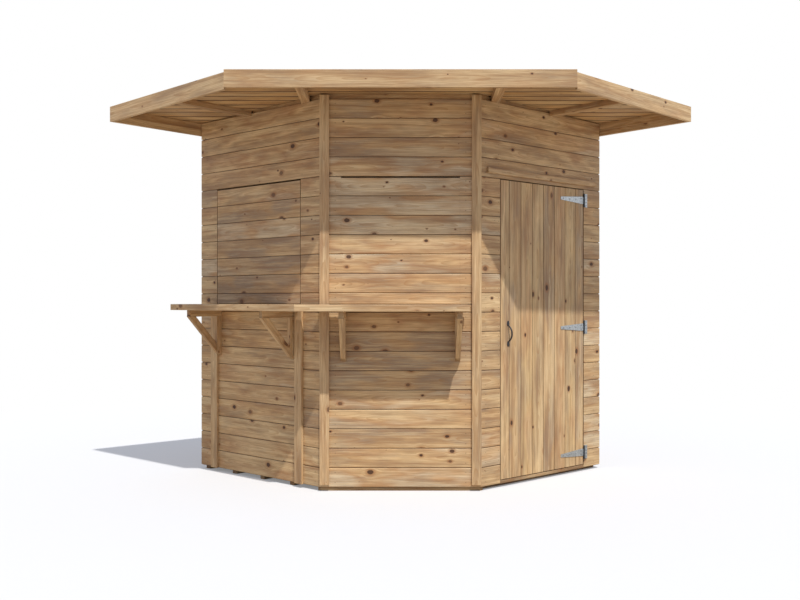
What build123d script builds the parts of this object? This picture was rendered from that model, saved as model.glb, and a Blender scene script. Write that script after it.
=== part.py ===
from build123d import *
import os
from math import radians, sqrt, tan

# Lengths in millimetres. Plan axes while modelling: the front (cut-off) wall's
# outer face lies on Y = 0, the middle of the bar is X = 0, the ground is Z = 0.

# Plan
front_width = 957.0
side_width = 1221.0
cladding_thick = 12.0
frame_depth = 45.0
stud_width = 28.0
fit_gap = 0.3
trim_width = 57.0
trim_thick = 18.0

# Heights
board_pitch = 115.0
head_board_count = 16
cladding_bottom = 22.0
counter_top = 1103.5
trim_bottom = 37.0
trim_rise = 21.0

# Floor
bearer_height = 44.0
bearer_width = 40.0
bearer_inset = 41.0
bearer_count = 7
floor_thick = 14.0
floor_inset = 17.5
rim_strip_thick = 16.0

# Roof
roof_fall = 0.0355
soffit_front = 2351.4
deck_thick = 12.0
felt_thick = 2.0
fascia_thick = 20.0
fascia_height = 96.0
front_fascia_height = 100.0
front_fascia_rise = 15.0
front_overhang = 450.0
side_overhang = 666.0
rear_overhang = 31.0
rim_height = 45.0
joist_height = 33.0
joist_width = 55.0
joist_past_corner = 91.5
rim_thick = 28.0
outrigger_from_corner = 691.0
plate_height = 58.0

# Left hatch and its lower panel: boarding kept at each end of the wall
left_hatch_near = 176.0
left_hatch_end_strip = 180.0
batten_width = 68.0
batten_thick = 17.0
near_batten_lap = 41.0
far_batten_lap = 20.0

# Front hatch: boarding kept at each end of the wall
front_hatch_strip = 126.5
hatch_side_gap = 2.0
hatch_head_gap = 7.0
ledge_width = 70.0
ledge_thick = 24.0
ledge_end = 40.0

# Counter and its brackets
counter_thick = 38.5
counter_depth = 295.0
counter_notch = 40.0
counter_past_hatch = 99.0
front_counter_past_hatch = 39.5
bracket_reach = 250.0
bracket_drop = 297.0
bracket_thick = 30.0
bracket_bar = 38.0
bracket_nose = 44.0
near_bracket_inset = 67.0
far_bracket_inset = 39.0
front_bracket_inset = 14.0

# Door: boarding kept at each end of the wall
door_near = 173.0
door_end_strip = 182.0
door_gap = 5.0
door_sill = 40.0
drip_height = 32.0
drip_thick = 16.0
drip_start = 48.0
drip_end = 55.0
drip_rise = 25.0
door_ledge_heights = (150.0, 850.0, 1660.0)
door_ledge_width = 95.0
door_ledge_end = 20.0
brace_width = 80.0

# Tee hinges and pull handle
hinge_heights = (124.0, 951.0, 1788.0)
hinge_metal = 3.0
pin_radius = 3.0
pin_clearance = 0.05
knuckle_radius = 5.5
knuckle_gap = 0.5
strap_length = 254.0
strap_root = 50.0
strap_tip = 19.0
strap_knuckle = 34.0
hinge_plate_height = 88.0
hinge_plate_width = 38.0
handle_from_corner = 249.0
handle_low = 846.0
handle_high = 1004.0
handle_reach = 31.0
handle_radius = 5.0
handle_foot = 34.0
handle_foot_width = 22.0
handle_foot_thick = 3.0

# Worked-out values
head_height = cladding_bottom + head_board_count * board_pitch
half_front = front_width / 2
front_hatch_half = half_front - front_hatch_strip
left_hatch_far = side_width - left_hatch_end_strip
door_far = side_width - door_end_strip
joist_offset = half_front + joist_past_corner
root2 = sqrt(2)
mitre = tan(radians(22.5))
rear_corner = half_front + root2 * side_width
far_corner = half_front + side_width / root2
far_corner_y = side_width / root2
square_side = side_width + front_width / root2
floor_top = bearer_height + floor_thick
wall_top = soffit_front - roof_fall * far_corner_y - fit_gap
frame_face = cladding_thick + fit_gap
frame_back = frame_face + frame_depth
counter_bottom = counter_top - counter_thick
roof_rear = rear_corner + root2 * rear_overhang
centre_y = (roof_rear - front_overhang) / 2
roof_top = soffit_front + deck_thick + felt_thick
fascia_bottom = roof_top - fascia_height
reach = 4000.0
everywhere = [(-reach, -reach), (reach, -reach), (reach, reach), (-reach, reach)]


# The five walls in plan, each as outward direction and distance from the origin
walls = {
    "front": ((0.0, -1.0), 0.0),
    "right": ((1 / root2, -1 / root2), half_front / root2),
    "rear_right": ((1 / root2, 1 / root2), rear_corner / root2),
    "rear_left": ((-1 / root2, 1 / root2), rear_corner / root2),
    "left": ((-1 / root2, -1 / root2), half_front / root2),
}
wall_order = ["front", "right", "rear_right", "rear_left", "left"]

# Each wall's own frame: x along the wall from its left end seen from outside,
# y into the building, z up
wall_places = {
    "front": Location((-half_front, 0, 0), (0, 0, 0)),
    "right": Location((half_front, 0, 0), (0, 0, 45)),
    "rear_right": Location((far_corner, far_corner_y, 0), (0, 0, 135)),
    "rear_left": Location((0, rear_corner, 0), (0, 0, 225)),
    "left": Location((-far_corner, far_corner_y, 0), (0, 0, 315)),
}


def crossing(first, first_offset, second, second_offset):
    """Plan point where two wall lines cross, each moved outward by its offset."""
    (ax, ay), a_distance = walls[first]
    (bx, by), b_distance = walls[second]
    p = a_distance + first_offset
    q = b_distance + second_offset
    det = ax * by - ay * bx
    return ((p * by - q * ay) / det, (ax * q - bx * p) / det)


def outline(front, side, rear):
    """Plan corners of the pentagon with its walls moved outward."""
    offsets = {"front": front, "right": side, "rear_right": rear, "rear_left": rear, "left": side}
    corners = []
    for index, name in enumerate(wall_order):
        before = wall_order[index - 1]
        corners.append(crossing(before, offsets[before], name, offsets[name]))
    return corners


def edge_strip(name, outer, inner):
    """Plan strip along one wall between two outlines, mitred at both ends."""
    start = wall_order.index(name)
    end = (start + 1) % len(wall_order)
    return [outer[start], outer[end], inner[end], inner[start]]


def level(height):
    """A level surface, as height at Y = 0 and fall."""
    return (height, 0.0)


def sloped(height):
    """A surface parallel to the roof, as height at Y = 0 and fall."""
    return (height, roof_fall)


def column(plan):
    """Tall upright solid over a plan outline."""
    return extrude(make_face(Polyline(plan, close=True)), amount=reach)


def between(plan, low, high):
    """Upright solid over a plan outline between two surfaces."""
    side = []
    for surface in (low, high):
        ends = [(-reach, surface[0] + surface[1] * reach), (reach, surface[0] - surface[1] * reach)]
        side.extend(ends if surface is low else reversed(ends))
    layer = extrude(Plane.YZ * make_face(Polyline(side, close=True)), amount=reach, both=True)
    return layer & column(plan)


def block(x0, x1, y0, y1, z0, z1):
    """Box between two corners."""
    return Pos((x0 + x1) / 2, (y0 + y1) / 2, (z0 + z1) / 2) * Box(x1 - x0, y1 - y0, z1 - z0)


def on_wall(name, shapes):
    """Shapes drawn in a wall's own frame, put in place."""
    return [wall_places[name] * shape for shape in shapes]


def save(name, shapes):
    """One file for each piece, moved so that the plan's middle is the origin."""
    placed = [shape.moved(Location((0, -centre_y, 0))) for shape in shapes]
    piece = placed[0] if len(placed) == 1 else Compound(children=placed)
    export_step(piece, os.path.join("parts", name + ".step"))


# Floor
def floor_bearers():
    """Bearers square to the left wall, cut off inside the front wall."""
    room = column(outline(-cladding_thick - rim_strip_thick - 2 * fit_gap, -frame_face, -frame_face))
    pitch = (square_side - 2 * bearer_inset - bearer_width) / (bearer_count - 1)
    pieces = []
    for index in range(bearer_count):
        start = bearer_inset + index * pitch
        strip = block(0, square_side, start, start + bearer_width, 0, bearer_height)
        pieces.append((wall_places["rear_left"] * strip) & room)
    return pieces


def floor_rim():
    """Strip across the bearers' ends under the front wall."""
    back = -frame_face - rim_strip_thick
    ends = outline(-frame_face, -frame_face, -frame_face)
    inner = outline(back, -frame_face, -frame_face)
    return [between(edge_strip("front", ends, inner), level(0), level(bearer_height))]


def floor_boards():
    plan = outline(-floor_inset, -floor_inset, -floor_inset)
    return [between(plan, level(bearer_height), level(floor_top))]


# Walls
def wall_sheet(name, start, end, low, high):
    """Boarding of one wall between two distances along it, mitred to its neighbours."""
    outer = outline(0, 0, 0)
    inner = outline(-cladding_thick, -cladding_thick, -cladding_thick)
    sheet = between(edge_strip(name, outer, inner), low, high)
    window = block(start, end, -cladding_thick, 2 * cladding_thick, 0, reach)
    return sheet & (wall_places[name] * window)


def framed(name, posts, rails):
    """Posts and rails behind one wall's boarding, clear of the corners."""
    roof_line = soffit_front - fit_gap
    outer = outline(-frame_face, -frame_face, -frame_face)
    inner = outline(-frame_back, -frame_back, -frame_back)
    strip = edge_strip(name, outer, inner)
    pieces = [between(strip, sloped(roof_line - plate_height), sloped(roof_line))]
    under_plate = between(strip, level(floor_top), sloped(roof_line - plate_height - fit_gap))
    for start, width in posts:
        post = block(start, start + width, frame_face, frame_back, floor_top, reach)
        pieces.append((wall_places[name] * post) & under_plate)
    for start, end, low in rails:
        rail = block(start, end, frame_face, frame_back, low, low + stud_width)
        pieces.append(wall_places[name] * rail)
    return pieces


def corner_post_start():
    """Distance from a blunt corner to its post, clear of the neighbour's post."""
    return frame_back * mitre + fit_gap


def left_wall():
    """Two full-height sides, the part over the hatch and the panel under the counter."""
    near = side_width - left_hatch_near
    far = side_width - left_hatch_far
    low = level(cladding_bottom)
    high = level(wall_top)
    return [
        wall_sheet("left", -trim_width, far, low, high),
        wall_sheet("left", near, side_width + trim_width, low, high),
        wall_sheet("left", far + fit_gap, near - fit_gap, level(head_height), high),
        wall_sheet("left", far + fit_gap, near - fit_gap, low, level(counter_top)),
    ]


def left_wall_frame():
    near = side_width - left_hatch_near
    far = side_width - left_hatch_far
    end = side_width - corner_post_start()
    posts = [
        (frame_back + fit_gap, stud_width),
        (far - stud_width, stud_width),
        (near, stud_width),
        (end - stud_width, stud_width),
    ]
    span = (far + fit_gap, near - fit_gap)
    rails = [
        (*span, floor_top),
        (*span, counter_top - stud_width),
        (*span, head_height),
    ]
    return framed("left", posts, rails)


def front_wall():
    """Boarding under and over the hatch, with a narrow strip at each side of it."""
    left = half_front - front_hatch_half
    right = half_front + front_hatch_half
    low = level(cladding_bottom)
    high = level(wall_top)
    sill = level(counter_top)
    ends = (-trim_width, front_width + trim_width)
    head = level(head_height - fit_gap)
    return [
        wall_sheet("front", *ends, low, level(counter_top - fit_gap)),
        wall_sheet("front", *ends, level(head_height), high),
        wall_sheet("front", ends[0], left, sill, head),
        wall_sheet("front", right, ends[1], sill, head),
    ]


def front_wall_frame():
    left = half_front - front_hatch_half
    right = half_front + front_hatch_half
    start = corner_post_start()
    posts = [(start, left - start), (right, left - start)]
    span = (left + fit_gap, right - fit_gap)
    rails = [
        (*span, floor_top),
        (*span, counter_top - stud_width),
        (*span, head_height),
    ]
    return framed("front", posts, rails)


def right_near_pier():
    return [wall_sheet("right", -trim_width, door_near, level(cladding_bottom), level(wall_top))]


def right_far_pier():
    end = side_width + trim_width
    return [wall_sheet("right", door_far, end, level(cladding_bottom), level(wall_top))]


def right_over_door():
    span = (door_near + fit_gap, door_far - fit_gap)
    return [wall_sheet("right", *span, level(head_height), level(wall_top))]


def right_wall_frame():
    start = corner_post_start()
    end = side_width - frame_back - fit_gap
    posts = [
        (start, stud_width),
        (door_near - stud_width, stud_width),
        (door_far, stud_width),
        (end - stud_width, stud_width),
    ]
    rails = [(door_near + fit_gap, door_far - fit_gap, head_height)]
    return framed("right", posts, rails)


def rear_wall(name):
    high = sloped(soffit_front - fit_gap)
    return [wall_sheet(name, -trim_width, square_side + trim_width, level(cladding_bottom), high)]


def rear_wall_frame(name):
    """Posts at the ends and thirds, joined by rails at the floor and at counter height."""
    first = frame_back + fit_gap
    last = square_side - first - stud_width
    step = (last - first) / 3
    starts = [first + index * step for index in range(4)]
    posts = [(start, stud_width) for start in starts]
    rails = []
    for start in starts[:-1]:
        span = (start + stud_width + fit_gap, start + step - fit_gap)
        rails.append((*span, floor_top))
        rails.append((*span, counter_top - stud_width))
    return framed(name, posts, rails)


def front_corner_trims():
    """Upright trims at both ends of the front wall."""
    top = wall_top + trim_rise
    faces = (-trim_thick - fit_gap, -fit_gap)
    pieces = [
        block(0, trim_width, *faces, trim_bottom, top),
        block(front_width - trim_width, front_width, *faces, trim_bottom, top),
    ]
    return on_wall("front", pieces)


def rear_corner_trims():
    """Upright trims on both rear walls where they meet, one lapping the other."""
    faces = (-trim_thick - fit_gap, -fit_gap)
    end = square_side + trim_thick + fit_gap
    lapping = block(end - trim_width, end, *faces, trim_bottom, reach)
    lapped = block(0, trim_width, *faces, trim_bottom, reach)
    pieces = on_wall("rear_right", [lapping]) + on_wall("rear_left", [lapped])
    under_boards = between(everywhere, level(0), sloped(fascia_bottom - fit_gap))
    return [piece & under_boards for piece in pieces]


def left_wall_battens():
    """Upright battens over the side joints of the panel under the counter."""
    pieces = []
    near_end = side_width - left_hatch_near + batten_width - near_batten_lap
    far_end = side_width - left_hatch_far + far_batten_lap
    for end in (near_end, far_end):
        faces = (-batten_thick - fit_gap, -fit_gap)
        top = counter_bottom - fit_gap
        pieces.append(block(end - batten_width, end, *faces, cladding_bottom, top))
    return on_wall("left", pieces)


# Hatches
def hatch(name, start, end):
    """Boarded hatch flush with the wall, with two ledges on its inner face."""
    x0 = start + hatch_side_gap
    x1 = end - hatch_side_gap
    z0 = counter_top + fit_gap
    z1 = head_height - hatch_head_gap
    pieces = [block(x0, x1, 0, cladding_thick, z0, z1)]
    front = cladding_thick + fit_gap
    back = front + ledge_thick
    low = z0 + ledge_end
    high = z1 - ledge_end - ledge_width
    for base in (low, high):
        pieces.append(block(x0 + ledge_end, x1 - ledge_end, front, back, base, base + ledge_width))
    return on_wall(name, pieces)


def left_hatch():
    return hatch("left", side_width - left_hatch_far, side_width - left_hatch_near)


def front_hatch():
    return hatch("front", half_front - front_hatch_half, half_front + front_hatch_half)


# Counter
def counter_board(points):
    return extrude(Pos(0, 0, counter_bottom) * make_face(Polyline(points, close=True)), amount=counter_thick)


def counter_left():
    """Shelf along the left wall, cut round the corner and mitred to the front shelf."""
    near = side_width - left_hatch_near
    far = side_width - left_hatch_far
    points = [
        (far - counter_past_hatch, -counter_depth),
        (side_width + counter_depth * mitre - fit_gap, -counter_depth),
        (side_width + counter_notch * mitre - fit_gap, -counter_notch),
        (near, -counter_notch),
        (near, -fit_gap),
        (far, -fit_gap),
        (far, -counter_notch),
        (far - counter_past_hatch, -counter_notch),
    ]
    return on_wall("left", [counter_board(points)])


def counter_front():
    """Shelf along the front wall, cut round both corner trims."""
    left = half_front - front_hatch_half
    right = half_front + front_hatch_half
    end = right + front_counter_past_hatch
    points = [
        (-counter_depth * mitre + fit_gap, -counter_depth),
        (end, -counter_depth),
        (end, -counter_notch),
        (right, -counter_notch),
        (right, -fit_gap),
        (left, -fit_gap),
        (left, -counter_notch),
        (-counter_notch * mitre + fit_gap, -counter_notch),
    ]
    return on_wall("front", [counter_board(points)])


def bracket(place):
    """Triangular bracket: arm under the shelf, leg on the wall and a sloping brace."""
    top = counter_bottom - fit_gap
    foot = top - bracket_drop
    outer = [
        (-fit_gap, foot),
        (-fit_gap, top),
        (-bracket_reach, top),
        (-bracket_reach, top - bracket_nose),
        (-bracket_bar / 2, foot),
    ]
    run = bracket_reach - bracket_bar / 2
    rise = bracket_drop - bracket_nose
    brace_width_up = bracket_bar * sqrt(run * run + rise * rise) / run
    slope = rise / run
    inner_low = foot + bracket_bar / 2 * slope + brace_width_up
    inner_out = bracket_bar + (top - bracket_bar - inner_low) / slope
    inner = [
        (-bracket_bar, inner_low),
        (-bracket_bar, top - bracket_bar),
        (-inner_out, top - bracket_bar),
    ]
    face = make_face(Polyline(outer, close=True)) - make_face(Polyline(inner, close=True))
    return Pos(place - bracket_thick / 2, 0, 0) * extrude(Plane.YZ * face, amount=bracket_thick)


def left_brackets():
    places = (
        side_width - left_hatch_near - near_bracket_inset,
        side_width - left_hatch_far + far_bracket_inset,
    )
    return on_wall("left", [bracket(place) for place in places])


def front_brackets():
    inset = front_hatch_half - front_bracket_inset
    places = (half_front - inset, half_front + inset)
    return on_wall("front", [bracket(place) for place in places])


# Roof
def roof_deck():
    inset = fascia_thick + fit_gap
    plan = outline(front_overhang - inset, side_overhang - inset, rear_overhang - inset)
    return [between(plan, sloped(soffit_front), sloped(soffit_front + deck_thick))]


def roof_felt():
    inset = fascia_thick + fit_gap
    plan = outline(front_overhang - inset, side_overhang - inset, rear_overhang - inset)
    return [between(plan, sloped(soffit_front + deck_thick), sloped(roof_top))]


def fascia_strip(name):
    """Plan of one edge board, mitred to its neighbours at both ends."""
    outer = outline(front_overhang, side_overhang, rear_overhang)
    inner = outline(
        front_overhang - fascia_thick, side_overhang - fascia_thick, rear_overhang - fascia_thick
    )
    return edge_strip(name, outer, inner)


def front_fascia():
    """Front edge board, level and standing above the roof."""
    top = roof_top + roof_fall * front_overhang + front_fascia_rise
    return [between(fascia_strip("front"), level(top - front_fascia_height), level(top))]


def other_fascia(name):
    """Edge board that falls with the roof."""
    return [between(fascia_strip(name), sloped(fascia_bottom), sloped(roof_top))]


def roof_rim():
    """Battens under the deck behind the edge boards, thinner between the rear ones and the walls."""
    start = fascia_thick + fit_gap
    end = start + rim_thick
    outer = outline(front_overhang - start, side_overhang - start, rear_overhang - start)
    inner = outline(front_overhang - end, side_overhang - end, fit_gap)
    top = soffit_front - fit_gap
    pieces = []
    for name in wall_order:
        strip = edge_strip(name, outer, inner)
        pieces.append(between(strip, sloped(top - rim_height), sloped(top)))
    return pieces


def joist(points):
    top = soffit_front - fit_gap
    return between(points, sloped(top - joist_height), sloped(top))


def roof_joists():
    """Joists inside the room from the front to the rear, resting between the wall frames."""
    inner = -frame_back - fit_gap
    room = column(outline(inner, inner, inner))
    pieces = []
    for middle in (-joist_offset, 0.0, joist_offset):
        x0 = middle - joist_width / 2
        x1 = middle + joist_width / 2
        strip = [(x0, 0), (x1, 0), (x1, rear_corner), (x0, rear_corner)]
        pieces.append(joist(strip) & room)
    return pieces


def roof_outriggers():
    """Joists under the overhang: two ahead of the side walls, one square to each side wall."""
    pieces = []
    start = fascia_thick + rim_thick + 3 * fit_gap
    for side in (-1, 1):
        x0 = joist_offset - joist_width / 2
        x1 = joist_offset + joist_width / 2
        y0 = start - front_overhang
        plan = [
            (side * x0, y0),
            (side * x1, y0),
            (side * x1, x1 - half_front - root2 * fit_gap),
            (side * x0, x0 - half_front - root2 * fit_gap),
        ]
        if side < 0:
            plan.reverse()
        pieces.append(joist(plan))
    for name, place in (("right", outrigger_from_corner), ("left", side_width - outrigger_from_corner)):
        strip = block(
            place - joist_width / 2,
            place + joist_width / 2,
            start - side_overhang,
            -fit_gap,
            0,
            reach,
        )
        pieces.append(joist(everywhere) & (wall_places[name] * strip))
    return pieces


# Door
def door_boards():
    leaf = block(
        door_near + door_gap,
        door_far - door_gap,
        0,
        cladding_thick,
        door_sill + door_gap,
        head_height - door_gap,
    )
    return on_wall("right", [leaf])


def door_ledges():
    """Three ledges and two sloping braces on the door's inner face."""
    x0 = door_near + door_gap + door_ledge_end
    x1 = door_far - door_gap - door_ledge_end
    y0 = cladding_thick + fit_gap
    y1 = y0 + stud_width
    pieces = []
    for low in door_ledge_heights:
        pieces.append(block(x0, x1, y0, y1, low, low + door_ledge_width))
    for low, high in zip(door_ledge_heights, door_ledge_heights[1:]):
        bottom = low + door_ledge_width + fit_gap
        top = high - fit_gap
        points = [(x1 - brace_width, bottom), (x1, bottom), (x0 + brace_width, top), (x0, top)]
        face = Plane.XZ * make_face(Polyline(points, close=True))
        pieces.append(Pos(0, y1, 0) * extrude(face, amount=y1 - y0))
    return on_wall("right", pieces)


def door_drip_bar():
    """Strip above the door's head, starting near the front corner."""
    low = head_height + drip_rise
    strip = block(
        drip_start, side_width - drip_end, -drip_thick - fit_gap, -fit_gap, low, low + drip_height
    )
    return on_wall("right", [strip])


def door_threshold():
    strip = block(
        door_near + fit_gap, door_far - fit_gap, 0, cladding_thick, cladding_bottom, door_sill
    )
    return on_wall("right", [strip])


def hinge_axis():
    """Pin position in the right wall's frame: middle of the door's gap, ahead of the face."""
    return door_far - door_gap / 2, -knuckle_radius - fit_gap


def tube(x, y, z0, z1, outer, inner):
    height = z1 - z0
    ring = Cylinder(outer, height)
    if inner > 0:
        ring = ring - Cylinder(inner, height)
    return Pos(x, y, (z0 + z1) / 2) * ring


def hinge_plate(height):
    """Upright plate on the wall with two knuckles and the pin through them."""
    x, y = hinge_axis()
    half = hinge_plate_height / 2
    inner = strap_knuckle / 2 + knuckle_gap
    face = -fit_gap
    plate = block(x, x + hinge_plate_width, face - hinge_metal, face, height - half, height + half)
    plate = plate - block(
        x - knuckle_radius,
        x + knuckle_radius + fit_gap,
        -reach,
        reach,
        height - inner,
        height + inner,
    )
    plate = plate + tube(x, y, height - half, height - inner, knuckle_radius, 0)
    plate = plate + tube(x, y, height + inner, height + half, knuckle_radius, 0)
    return plate + tube(x, y, height - half, height + half, pin_radius, 0)


def hinge_plates():
    return on_wall("right", [hinge_plate(height) for height in hinge_heights])


def hinge_strap(height):
    """Tapered strap on the door with the middle knuckle round the pin."""
    x, y = hinge_axis()
    face = -fit_gap
    half_knuckle = strap_knuckle / 2
    points = [
        (x, height - half_knuckle),
        (x, height + half_knuckle),
        (x - knuckle_radius - fit_gap, height + half_knuckle),
        (x - 2 * knuckle_radius, height + strap_root / 2),
        (x - strap_length, height + strap_tip / 2),
        (x - strap_length, height - strap_tip / 2),
        (x - 2 * knuckle_radius, height - strap_root / 2),
        (x - knuckle_radius - fit_gap, height - half_knuckle),
    ]
    outline_face = make_face(Polyline(points, close=True))
    strap = Pos(0, face, 0) * extrude(Plane.XZ * outline_face, amount=hinge_metal)
    low = height - half_knuckle
    high = height + half_knuckle
    strap = strap + tube(x, y, low, high, knuckle_radius, 0)
    return strap - tube(x, y, low, high, pin_radius + pin_clearance, 0)


def hinge_straps():
    return on_wall("right", [hinge_strap(height) for height in hinge_heights])


def door_handle():
    """Bow pull: a round bar bent outward between two flat feet."""
    x = handle_from_corner
    face = -fit_gap
    front = face - handle_foot_thick
    low = handle_low + handle_foot - handle_radius
    high = handle_high - handle_foot + handle_radius
    middle = (low + high) / 2
    path = ThreePointArc((x, front, low), (x, -handle_reach, middle), (x, front, high))
    bar = sweep(Plane(origin=path @ 0, z_dir=path % 0) * Circle(handle_radius), path)
    half = handle_foot_width / 2
    pieces = bar
    for z0 in (handle_low, handle_high - handle_foot):
        pieces = pieces + block(x - half, x + half, front, face, z0, z0 + handle_foot)
    return on_wall("right", [pieces - block(0, reach, face, reach, 0, reach)])


def main():
    os.makedirs("parts", exist_ok=True)
    save("floor_bearers", floor_bearers())
    save("floor_rim", floor_rim())
    save("floor_boards", floor_boards())
    save("left_wall", left_wall())
    save("left_wall_frame", left_wall_frame())
    save("left_wall_battens", left_wall_battens())
    save("left_hatch", left_hatch())
    save("front_wall", front_wall())
    save("front_wall_frame", front_wall_frame())
    save("front_hatch", front_hatch())
    save("right_near_pier", right_near_pier())
    save("right_far_pier", right_far_pier())
    save("right_over_door", right_over_door())
    save("right_wall_frame", right_wall_frame())
    save("rear_left_wall", rear_wall("rear_left"))
    save("rear_left_frame", rear_wall_frame("rear_left"))
    save("rear_right_wall", rear_wall("rear_right"))
    save("rear_right_frame", rear_wall_frame("rear_right"))
    save("front_corner_trims", front_corner_trims())
    save("rear_corner_trims", rear_corner_trims())
    save("counter_left", counter_left())
    save("counter_front", counter_front())
    save("left_brackets", left_brackets())
    save("front_brackets", front_brackets())
    save("roof_joists", roof_joists())
    save("roof_outriggers", roof_outriggers())
    save("roof_rim", roof_rim())
    save("roof_deck", roof_deck())
    save("roof_felt", roof_felt())
    save("front_fascia", front_fascia())
    save("left_fascia", other_fascia("left"))
    save("right_fascia", other_fascia("right"))
    save("rear_left_fascia", other_fascia("rear_left"))
    save("rear_right_fascia", other_fascia("rear_right"))
    save("door_drip_bar", door_drip_bar())
    save("door_threshold", door_threshold())
    save("hinge_plates", hinge_plates())
    save("door_boards", door_boards())
    save("door_ledges", door_ledges())
    save("hinge_straps", hinge_straps())
    save("door_handle", door_handle())


main()
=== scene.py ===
import bpy
import numpy as np
from functools import partial
from math import atan2, cos, pi, radians, sin, sqrt, tan
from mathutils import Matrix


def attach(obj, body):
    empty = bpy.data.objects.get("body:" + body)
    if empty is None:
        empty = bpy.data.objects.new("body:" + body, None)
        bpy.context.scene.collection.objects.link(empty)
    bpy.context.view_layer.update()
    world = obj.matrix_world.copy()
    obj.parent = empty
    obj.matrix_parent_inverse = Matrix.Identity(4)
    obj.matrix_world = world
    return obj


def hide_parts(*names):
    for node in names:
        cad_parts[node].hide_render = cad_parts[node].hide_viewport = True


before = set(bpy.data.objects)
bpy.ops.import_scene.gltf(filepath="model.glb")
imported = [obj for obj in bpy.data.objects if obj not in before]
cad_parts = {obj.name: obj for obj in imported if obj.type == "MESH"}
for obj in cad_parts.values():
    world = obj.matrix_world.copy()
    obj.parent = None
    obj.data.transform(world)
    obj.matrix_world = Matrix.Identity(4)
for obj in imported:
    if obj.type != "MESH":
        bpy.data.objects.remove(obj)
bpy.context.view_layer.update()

# Every length below is in millimetres; meshes are written in metres.
metre = 0.001
dice = np.random.default_rng(41)
root2 = sqrt(2)
mitre = tan(radians(45 / 2))  # joint of two walls that turn 45 degrees

building = {
    "frontWidth": 957.0, "sideWidth": 1221.0,
    "pitch": 115.0,  # one cladding board and its joint
    "claddingBottom": 22.0,
    "headRow": 16,  # rows of boards up to the head of the hatches and door
    "claddingThick": 12.0,
    "fit": 0.3,  # air left between two pieces
    "frameDepth": 45.0, "stud": 28.0,
    "sawnEase": 1.5,  # rounding of a sawn timber's corners
    "counterTop": 1103.5,
    "soffit": 2351.4,  # underside of the roof boards over the front wall
    "fall": 0.0355,  # the roof drops this much for each unit towards the back
    "frontOverhang": 450.0, "sideOverhang": 666.0, "rearOverhang": 31.0,
}
fit = building["fit"]
stud = building["stud"]
sill = building["counterTop"]
soffit = building["soffit"]
bottom = building["claddingBottom"]
square = building["claddingThick"]
blunt = square * mitre
frontWidth = building["frontWidth"]
sideWidth = building["sideWidth"]
halfFront = frontWidth / 2
farX = halfFront + sideWidth / root2
farY = sideWidth / root2
rearY = halfFront + root2 * sideWidth
squareSide = sideWidth + frontWidth / root2
centreY = (rearY + root2 * building["rearOverhang"] - building["frontOverhang"]) / 2
headHeight = bottom + building["headRow"] * building["pitch"]
roofLine = soffit - fit
wallTop = soffit - building["fall"] * farY - fit
frameFace = square + fit
frameBack = frameFace + building["frameDepth"]

# Each wall's own frame: x along it from its left end seen from outside, y inwards, z up
wallFrames = {
    "front": (-halfFront, 0.0, 0.0),
    "right": (halfFront, 0.0, 45.0),
    "rearRight": (farX, farY, 135.0),
    "rearLeft": (0.0, rearY, 225.0),
    "left": (-farX, farY, 315.0),
}
wallOrder = ["front", "right", "rearRight", "rearLeft", "left"]


def onWall(wall, points):
    # turns a wall's own lengths about the upright axis and moves them to the wall's corner
    x0, y0, degrees = wallFrames[wall]
    turn = radians(degrees)
    p = np.asarray(points, float)
    x = x0 + p[..., 0] * cos(turn) - p[..., 1] * sin(turn)
    y = y0 + p[..., 0] * sin(turn) + p[..., 1] * cos(turn)
    return np.stack([x, y, p[..., 2]], -1)


def blockCorners(x, y, z, ways="xz"):
    # corners[u, v, w] of a block: u along the grain, v over the wide face, w through the thickness;
    # ways names the first two
    order = ways + "xyz".strip(ways)
    corners = np.zeros((2, 2, 2, 3))
    for index, (name, ends) in enumerate(zip("xyz", (x, y, z))):
        shape = [1, 1, 1]
        shape[order.index(name)] = 2
        corners[..., index] = np.reshape(ends, shape)
    return corners


def blockOn(wall, *block):
    # a block given in a wall's own lengths, set on that wall
    return onWall(wall, blockCorners(*block))


secondFlat = 0.3  # an eased corner's second flat, as a share of the first


def easedEdges(ease):
    # closed outline of a planed bar: each corner is cut by two short flats, listed as
    # share and length over the width, then share and length through the thickness
    e, s = ease, secondFlat * ease
    return [
        (0, e, 0, 0), (1, -e, 0, 0), (1, -s, 0, s), (1, 0, 0, e),
        (1, 0, 1, -e), (1, -s, 1, -s), (1, -e, 1, 0), (0, e, 1, 0),
        (0, s, 1, -s), (0, 0, 1, -e), (0, 0, 0, e), (0, s, 0, s),
    ]


def rebatedEdges(half, ease, depth):
    # outline of a cladding board: its face stops half a joint short of each edge with an
    # eased corner, and its rear half reaches the neighbour so that no light comes through
    e, s, flat, touch = half + ease, half + secondFlat * ease, secondFlat * ease, 0.1
    return [
        (0, e, 0, 0), (1, -e, 0, 0), (1, -s, 0, flat), (1, -half, 0, ease),
        (1, -half, 0, depth), (1, -touch, 0, depth), (1, -touch, 1, 0), (0, touch, 1, 0),
        (0, touch, 0, depth), (0, half, 0, depth), (0, half, 0, ease), (0, s, 0, flat),
    ]


# which of an outline's twelve sides lie on a bar's narrow edges, without and with its eased corners
edgeFaces = np.array([0, 0, 0, 1, 1, 1, 0, 1, 1, 1, 0, 0], float)
easedFaces = np.array([0, 1, 1, 1, 1, 1, 0, 1, 1, 1, 1, 1], float)
endDraw = 1.4  # a bar's end faces are smaller than its section by this many end eases
grainReach = 60  # boards start at random places up to this many metres along the grain


def unit(vectors):
    # each vector over its own length
    return vectors / np.linalg.norm(vectors, axis=-1, keepdims=True)


def spanOf(c, axis):
    # from the middle of each bar's first face to that of the opposite one, along u, v or w
    ends = np.moveaxis(c, axis, 1)
    return ends[:, 1].mean((1, 2)) - ends[:, 0].mean((1, 2))


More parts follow.
